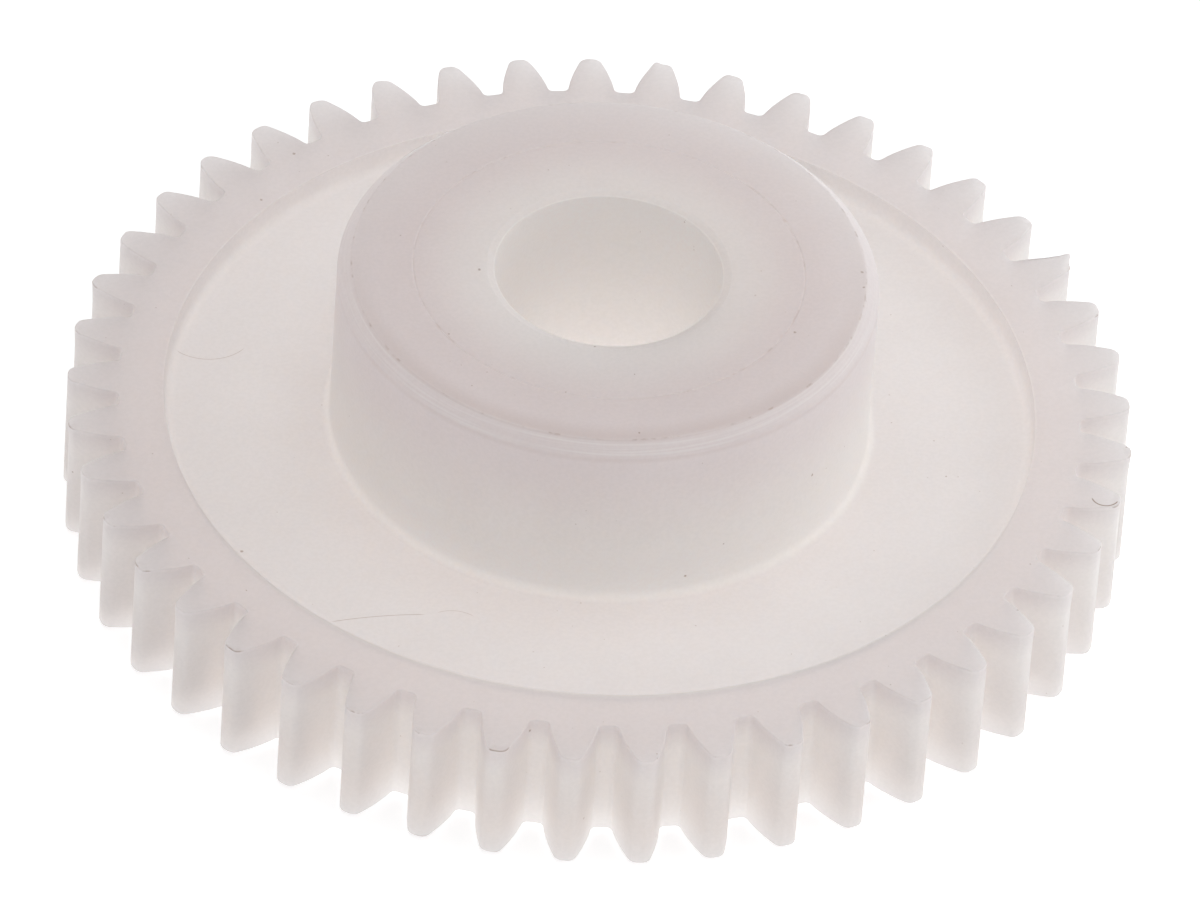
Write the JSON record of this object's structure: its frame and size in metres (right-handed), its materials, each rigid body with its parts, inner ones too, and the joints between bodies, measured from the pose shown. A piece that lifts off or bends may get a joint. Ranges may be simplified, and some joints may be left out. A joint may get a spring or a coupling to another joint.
{
  "type": "spur gear",
  "caption": "White plastic spur gear with straight involute teeth, a shallow ring-shaped recess and a plain through-bored hub standing out on one side.",
  "frame": {"origin": "centre of the bore at the gear's flat back face", "axes": "+Z along the bore towards the hub; a tooth is centred on +X"},
  "size_m": [0.047, 0.047, 0.0137],
  "materials": {
    "white_acetal": "natural white acetal, milky and slightly see-through at its edges, with a satin moulded skin"
  },
  "bodies": {
    "root": {"gear": "white_acetal"}
  },
  "joints": []
}
